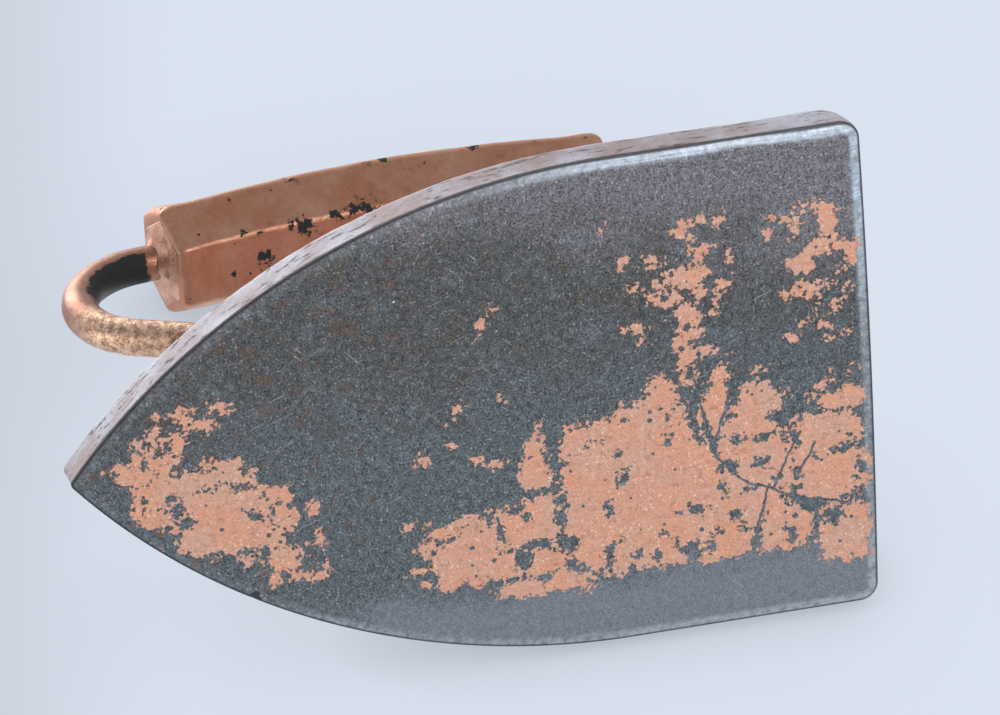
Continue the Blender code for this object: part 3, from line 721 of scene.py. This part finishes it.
# ---- grip -----------------------------------------------------------------------------
# A hollow iron grip, arched and six-sided with soft corners, that the bar runs through. Its
# ends are rounded over and carry a raised lip on top. It is copper flashed and browned by
# the hand, with the plate chipped to black along some of its corners.
GRIP_WIDTH = 26.6 * MM
GRIP_HEIGHT = 20.4 * MM
GRIP_FLAT = 14.0 * MM
GRIP_CORNER = 2.2 * MM
GRIP_WALL = 2.0 * MM
GRIP_RISE = 0.9 * MM
GRIP_ARCH_RADIUS = 240.0 * MM
GRIP_TAPER = 0.8 * MM
END_ROUND = 2.8 * MM
END_SHRINK = 1.9 * MM
LIP_LENGTH = 8.0 * MM
LIP_RISE = 2.4 * MM
LIP_RUN = (0, 0.12, 0.3, 0.6, 0.85, 1.15)     # from the end, in lip lengths
LIP_SHARE = (0.35, 0.8, 1, 0.85, 0.25, 0)     # of its rise, at each of those
CORNER_POINTS = 9
FACET_POINTS = 8


def hex_section(shrink):
    """Rows of a six-sided section with round corners, one row for each shrink: an arc at
    each corner, tangent to its two facets, and straight facets between. Gives (x, n) and,
    for each column, how near it is to a corner, from 0 to 1."""
    shrink = np.asarray(shrink)[:, None]
    side_angle = math.atan2(GRIP_HEIGHT / 2, (GRIP_WIDTH - GRIP_FLAT) / 2)
    half_height = GRIP_HEIGHT / 2 - shrink
    half_width = GRIP_WIDTH / 2 - shrink / math.sin(side_angle)
    half_flat = half_width - half_height / math.tan(side_angle)
    radius = np.maximum(GRIP_CORNER - shrink, 2 * LEAST_RADIUS)
    turns = (-side_angle, 0, side_angle)
    normals = [quarter + turn for quarter in (math.pi / 2, 3 * math.pi / 2) for turn in turns]
    corners = [(half_flat, half_height), (-half_flat, half_height), (-half_width, 0 * half_width),
               (-half_flat, -half_height), (half_flat, -half_height), (half_width, 0 * half_width)]
    arcs = []
    for (corner_x, corner_n), start, end in zip(corners, normals, normals[1:] + [normals[0] + 2 * math.pi]):
        bisector = (start + end) / 2
        reach = radius / math.cos((end - start) / 2)
        turn = np.linspace(start, end, CORNER_POINTS)
        arcs.append((corner_x - reach * math.cos(bisector) + radius * np.cos(turn),
                     corner_n - reach * math.sin(bisector) + radius * np.sin(turn)))
    x, n = [], []
    share = np.linspace(0, 1, FACET_POINTS + 2)[1:-1]
    for arc, following in zip(arcs, arcs[1:] + arcs[:1]):
        for columns, here, there in zip((x, n), arc, following):
            columns.extend((here, here[:, -1:] + (there[:, :1] - here[:, -1:]) * share))
    near = np.concatenate([np.ones(CORNER_POINTS), np.abs(2 * share - 1) ** 3])
    return np.concatenate(x, 1), np.concatenate(n, 1), np.tile(near, 6)


def arch_frame(distance):
    """Point (y, z) of the grip's middle line at a distance towards the nose from its
    middle, on an arc that is tilted by the rake, and the outward direction there."""
    centre = np.array((HANDLE_Y, HANDLE_HEIGHT)) + (GRIP_RISE - GRIP_ARCH_RADIUS) * RAKED_UP
    angle = HANDLE_RAKE + np.asarray(distance) / GRIP_ARCH_RADIUS
    outward = np.stack([-np.sin(angle), np.cos(angle)], -1)
    return centre + GRIP_ARCH_RADIUS * outward, outward


def bar_offset(distance):
    """Height of the bar's middle line over the grip's, in the section at distance: where the
    line across the grip's arc meets the bar's circle."""
    _, outward = arch_frame(distance)
    apart = (GRIP_RISE - GRIP_ARCH_RADIUS + BAR_ARCH_RADIUS) * RAKED_UP
    along = outward @ apart
    return np.sqrt(along ** 2 - apart @ apart + BAR_ARCH_RADIUS ** 2) - along - GRIP_ARCH_RADIUS


def place_sections(x, n, distance, lift):
    """Set rows of sections across the arch. Lift raises their upper half."""
    origin, outward = arch_frame(distance)
    n = n + np.asarray(lift)[:, None] * np.clip(0.4 + n / (GRIP_HEIGHT / 2), 0, 1)
    return np.stack([x, origin[:, :1] + n * outward[:, :1], origin[:, 1:] + n * outward[:, 1:]], -1)


def taper(distance):
    """How much slimmer the grip is, as the square of the distance from its middle."""
    return GRIP_TAPER * (2 * distance / GRIP_LENGTH) ** 2


def build_grip():
    """Sections along the outer skin from the heel end to the nose end, rounded over at the
    ends by a quarter circle, then back through the hollow."""
    half = GRIP_LENGTH / 2
    run = np.linspace(0, 1, 14)
    rounding = END_ROUND * (1 - np.cos(run * math.pi / 2))
    middle = np.linspace(-(half - END_ROUND), half - END_ROUND, 150)[1:-1]
    outer = np.concatenate([rounding - half, middle, (half - rounding)[::-1]])
    from_end = half - np.abs(outer)
    into_round = np.clip(1 - from_end / END_ROUND, 0, 1)
    shrink = taper(outer) + END_SHRINK * (1 - np.sqrt(1 - into_round ** 2))
    lift = LIP_RISE * np.interp(from_end / LIP_LENGTH, LIP_RUN, LIP_SHARE)
    x, n, near = hex_section(shrink)
    skin = place_sections(x, n, outer, lift)
    inner = np.linspace(half, -half, 40)
    hollow_x, hollow_n, _ = hex_section(taper(inner) + GRIP_WALL)
    hollow = place_sections(hollow_x, hollow_n, inner, 0 * inner)
    grip = surface("grip_sleeve_soft", np.concatenate([skin, hollow]), closed=True)
    corner = np.broadcast_to(near, (len(outer) + len(inner), len(near)))
    keep_field(grip, "corner", corner.ravel())
    from_mouth = np.concatenate([from_end, 0 * inner])
    share = np.repeat(smooth_step(from_mouth, 0.1 * MM, 1.6 * MM), len(near))
    roughen(grip, ((0.30 * MM, 9 * MM, 21), (0.12 * MM, 2.6 * MM, 22)), share)
    return grip


GRIP_BROWN = (0.56, 0.235, 0.128)
GRIP_ROSE = (0.64, 0.325, 0.215)
GRIP_EDGE = (0.60, 0.34, 0.23)
CHIP_HALO = (0.22, 0.08, 0.04)
GRIP_CHIPS = (
    (7.4, -3.5, 88.3, 1.5), (7.6, -6.5, 88.4, 1.5), (7.2, -10.5, 87.5, 1.1), (5.6, -17.5, 86.4, 1.5),
    (6.6, -20.5, 86.0, 0.9), (0.6, -26.5, 85.0, 1.6), (-1.2, -33.5, 83.6, 0.7), (7.8, -30.5, 84.8, 0.8),
    (12.8, 21, 98.2, 1.1), (12.8, 2, 98.2, 0.9), (-8.5, -14, 88.6, 1.5), (-12.6, 12, 98.0, 1.4),
    (8.4, 30, 104.5, 1.1), (-7.0, -31, 104.0, 1.2), (6.8, -2, 107.8, 0.9),
)


def chipped(finish, places):
    """1 inside ragged spots round given points, each (x, y, z, radius) in millimetres."""
    ragged = (finish.noise(1.8 * MM, 6, 0.72) - 0.5) * 7.0
    found = 0.0
    for x, y, z, radius in places:
        apart = finish.node("VectorMath", {"operation": "DISTANCE"},
                            {0: finish.place, 1: (x * MM, y * MM, z * MM)}, "Value")
        found = finish.step(apart / (radius * MM) + ragged, 1.1, 0.9) | found
    return found


def grip_finish():
    grip = Finish("coppered_grip")
    skin, speck, grit = copper_skin(grip, GRIP_BROWN, GRIP_ROSE, 12 * MM)
    corner = grip.kept("corner")
    skin = grip.mix(corner * grip.step(grit, 0.35, 0.65) * 0.35, skin, GRIP_EDGE)
    y = grip.axis("Y")
    busy = grip.step(y, -40 * MM, -20 * MM) * grip.step(y, 30 * MM, 0.0)
    flaw = grip.noise(4.2 * MM, 7, 0.68) + corner * 0.045 + busy * 0.02
    chips = grip.step(flaw, 0.685, 0.715)
    pin_holes = grip.step(grip.cells(6 * MM), 0.075, 0.05)
    bare = chips | pin_holes | chipped(grip, GRIP_CHIPS)
    halo = grip.step(flaw, 0.62, 0.70)
    skin = grip.mix(halo * 0.4, skin, CHIP_HALO)
    colour = grip.mix(bare, skin, SOOT)
    height = speck * 0.03 + grit * 0.07 - bare * 0.15
    return grip.wear(colour, 0.34 + grit * 0.22 + bare * 0.25, 0.90 - bare * 0.7, height)


grip = build_grip()
grip.data.materials.append(grip_finish())
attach(grip, "root")
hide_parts("grip_sleeve")


# ---- end plugs ------------------------------------------------------------------------
# The lumpy filling that closes each end of the hollow grip and climbs a little way along
# the bar. It was poured in and copper flashed with the rest, so it is rough. Its copper is
# painted brighter than the grip's: painted light on the grip's end faces.
PLUG_THICKNESS = 7.0 * MM
PLUG_CROWN = 0.5 * MM
COLLAR_RISE = 1.3 * MM
COLLAR_WIDTH = 1.3 * MM
LUMP_SIZE = 2.6 * MM
LUMP_RISE = 0.40 * MM
PLUG_OVERLAP = 0.1 * MM           # how far its bore lies inside the bar's surface
PLUG_GAP = 0.02 * MM              # all round, inside the grip
# Both filling colours are painted brighter than the grip's, as painted light on the end faces.
PLUG_BROWN_PAINTED_LIGHT = (0.64, 0.32, 0.195)
PLUG_ROSE_PAINTED_LIGHT = (0.86, 0.53, 0.39)
PLUG_DARK = (0.09, 0.05, 0.035)


def build_plug(name, end, seed):
    """Rings from the grip's inner wall in to the bar, raised by a shallow dome, a collar that
    dies away from the bar exponentially, and random lumps; then a flat back."""
    mouth = end * GRIP_LENGTH / 2
    back = mouth - end * PLUG_THICKNESS
    edge_x, edge_n, _ = hex_section([taper(mouth) + GRIP_WALL + PLUG_GAP])
    angle = np.arctan2(edge_n - bar_offset(mouth), edge_x)
    share = np.linspace(0, 1, 30)[:, None] ** 0.8
    bore = BAR_RADIUS - PLUG_OVERLAP
    x = edge_x * (1 - share) + bore * np.cos(angle) * share
    n = edge_n * (1 - share) + (bar_offset(mouth) + bore * np.sin(angle)) * share
    from_bar = np.hypot(x, n - bar_offset(mouth)) - bore
    lumps = grain(np.stack([x, n, 0 * x], -1), LUMP_SIZE, seed)
    dome = PLUG_CROWN * np.sin(share * math.pi / 2)
    collar = COLLAR_RISE * np.exp(-from_bar / COLLAR_WIDTH) * (1 + 0.5 * lumps)
    face = dome + collar + LUMP_RISE * lumps * np.minimum(1, 4 * share)
    origin, outward = arch_frame(mouth)
    along = end * np.array((-outward[1], outward[0]))
    points = np.stack([x, origin[0] + n * outward[0] + face * along[0],
                       origin[1] + n * outward[1] + face * along[1]], -1)
    back_x, back_n = np.stack([x[-1], x[0]]), np.stack([n[-1], n[0]])
    back_rows = place_sections(back_x, back_n, np.array([back, back]), np.zeros(2))
    return surface(name, np.concatenate([points, back_rows]), closed=True)


def plug_finish():
    plug = Finish("coppered_filling")
    skin, speck, grit = copper_skin(plug, PLUG_BROWN_PAINTED_LIGHT, PLUG_ROSE_PAINTED_LIGHT, 4 * MM)
    hollow = plug.step(plug.noise(2.4 * MM, 6, 0.7), 0.60, 0.70)
    colour = plug.mix(hollow * 0.75, skin, PLUG_DARK)
    height = speck * 0.07 + grit * 0.22 - hollow * 0.12
    return plug.wear(colour, 0.36 + grit * 0.25, 0.88 - hollow * 0.4, height)


filling = plug_finish()
for plug_name, node, end, seed in (("front_end_filling", "front_end_plug", 1, 31),
                                   ("rear_end_filling", "rear_end_plug", -1, 37)):
    plug = build_plug(plug_name, end, seed)
    plug.data.materials.append(filling)
    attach(plug, "root")
    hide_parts(node)


# ---- camera ---------------------------------------------------------------------------
# The iron lies on its side and shows its sole: a long lens looks up at it from below.
CAMERA_PLACE = (0.7543, -0.2543, -1.3919)
RIGHT = Vector((-0.05865, 0.97518, -0.21349))
UP = Vector((0.88431, 0.14999, 0.44216))
BACK = Vector((0.4632, -0.16286, -0.87116))
camera = bpy.data.objects.new("camera", bpy.data.cameras.new("camera"))
camera.data.lens = 288
camera.data.sensor_width = 36
camera.data.clip_start = 0.05
camera.data.clip_end = 100
turned = Matrix((RIGHT, UP, BACK)).transposed().to_4x4()
camera.matrix_world = Matrix.Translation(CAMERA_PLACE) @ turned
bpy.context.scene.collection.objects.link(camera)
bpy.context.scene.camera = camera


# ---- floor, table and light -----------------------------------------------------------
# A pale floor under the standing iron, and a pale cloth that it leans on when it lies on
# its side. Both show only their upper face and glow evenly, with painted shadow where the
# iron is near.
PALE = (0.700, 0.765, 0.865)
FLOOR_DROP = 0.6 * MM
TABLE_TILT = math.radians(24.3)
TABLE_LIFT = 45 * MM              # up the table, from the foot of its normal to its centre
WEAVE_PITCH = 1.1 * MM
SHADOW_REACH = 40 * MM            # how near the iron must be to darken a sheet softly
CONTACT_REACH = 12 * MM           # and to darken it more


def stage_sheet(name, centre, normal, size, fade, shade):
    """A square sheet with one visible side, which is clear beyond the second of two radii
    and fades out between them; shade darkens a soft band beyond the nose of the iron."""
    turn = Vector(normal).to_track_quat("Z", "Y").to_matrix().to_4x4()
    mesh = bpy.data.meshes.new(name)
    corners = [(x * size / 2, y * size / 2, 0) for x, y in ((-1, -1), (1, -1), (1, 1), (-1, 1))]
    mesh.from_pydata(corners, [], [(0, 1, 2, 3)])
    sheet = bpy.data.objects.new(name, mesh)
    sheet.matrix_world = Matrix.Translation(centre) @ turn
    bpy.context.scene.collection.objects.link(sheet)
    paint = Finish(name)
    # Painted contact shadows: the glow is darkened where the iron is near.
    nearby = paint.node("AmbientOcclusion", {"samples": 8}, {"Distance": SHADOW_REACH}, "AO")
    close = paint.node("AmbientOcclusion", {"samples": 8}, {"Distance": CONTACT_REACH}, "AO")
    wave = 2 * math.pi / WEAVE_PITCH
    threads = [paint.node("Math", {"operation": "SINE"}, {0: paint.axis(name) * wave}) for name in "XY"]
    weave = threads[0] * threads[1] * 0.016
    cloud = (paint.noise(0.12, 2) - 0.5) * 0.03
    place = paint.node("NewGeometry", None, None, "Position")
    world_y, world_z = (paint.node("SeparateXYZ", None, {0: place}, name) for name in "YZ")
    nose_end = world_y + world_z * -0.2
    band = paint.step(nose_end, -0.060, -0.115) * paint.step(nose_end, -0.28, -0.13)
    light = (0.76 + nearby * 0.24) * (0.74 + close * 0.26) + weave + cloud
    light = light * (1 - band * shade)
    glow = paint.node("Emission", None, {"Color": paint.dim(PALE, light), "Strength": 1.0})
    clear = paint.node("BsdfTransparent")
    apart = paint.node("VectorMath", {"operation": "LENGTH"}, {0: paint.place}, "Value")
    hidden = paint.node("NewGeometry", None, None, "Backfacing") | paint.step(apart, fade[0], fade[1])
    shown = paint.node("MixShader", None, {0: hidden, 1: glow, 2: clear})
    paint.feed(paint.tree.nodes["Material Output"].inputs["Surface"], shown)
    sheet.data.materials.append(paint.material)
    sheet.visible_diffuse = sheet.visible_glossy = sheet.visible_shadow = False


stage_sheet("floor", (0, 0, -FLOOR_DROP), (0, 0, 1), 60.0, (29.0, 30.0), 0.0)
table_normal = np.array((math.cos(TABLE_TILT), 0, -math.sin(TABLE_TILT)))
lowest = min((points_of(piece) @ table_normal).min() for piece in (base, grip))
up_table = np.array((math.sin(TABLE_TILT), 0, math.cos(TABLE_TILT)))
table_centre = table_normal * lowest + TABLE_LIFT * up_table
stage_sheet("table", Vector(table_centre), Vector(table_normal), 0.9, (0.20, 0.40), 0.16)

# The room's light is weaker from below, where the sole faces. What shows of the room past
# the sheets is even.
world = bpy.data.worlds.new("studio")
bpy.context.scene.world = world
room = Nodes(world)
direction = room.node("TexCoord", output="Generated")
facing = room.node("VectorMath", {"operation": "DOT_PRODUCT"}, {0: direction, 1: BACK}, "Value")
fall = room.node("MapRange", {"interpolation_type": "SMOOTHSTEP"},
                 {"Value": facing, "From Min": -0.3, "From Max": 0.75, "To Min": 1.0, "To Max": 0.28})
seen = room.node("LightPath", output="Is Camera Ray")
background = room.tree.nodes["Background"]
room.feed(background.inputs["Color"], PALE)
room.feed(background.inputs["Strength"], room.node("Mix", None, {0: seen, 2: fall, 3: 1.0}))

LAMP_AIM = Vector((0, 0, 0.05))


def soft_light(name, direction, distance, size, power):
    """A square lamp at that distance from the iron, facing it."""
    lamp = bpy.data.objects.new(name, bpy.data.lights.new(name, "AREA"))
    lamp.data.size = size
    lamp.data.energy = power
    direction = Vector(direction).normalized()
    lamp.location = LAMP_AIM + direction * distance
    lamp.rotation_mode = "QUATERNION"
    lamp.rotation_quaternion = direction.to_track_quat("Z", "Y")
    bpy.context.scene.collection.objects.link(lamp)


soft_light("key", (0.62, 0.16, -0.77), 1.2, 0.35, 4.5)
soft_light("front", (0.12, 0.24, -0.96), 1.0, 0.30, 3.0)
soft_light("nose_side", (-0.05, -0.95, -0.30), 1.2, 0.40, 3.2)
soft_light("top", (0.35, -0.35, 1.0), 1.2, 0.7, 6.5)
soft_light("behind", (-0.8, 0.75, 0.55), 1.3, 0.7, 7)

bpy.context.scene.view_settings.view_transform = "Standard"
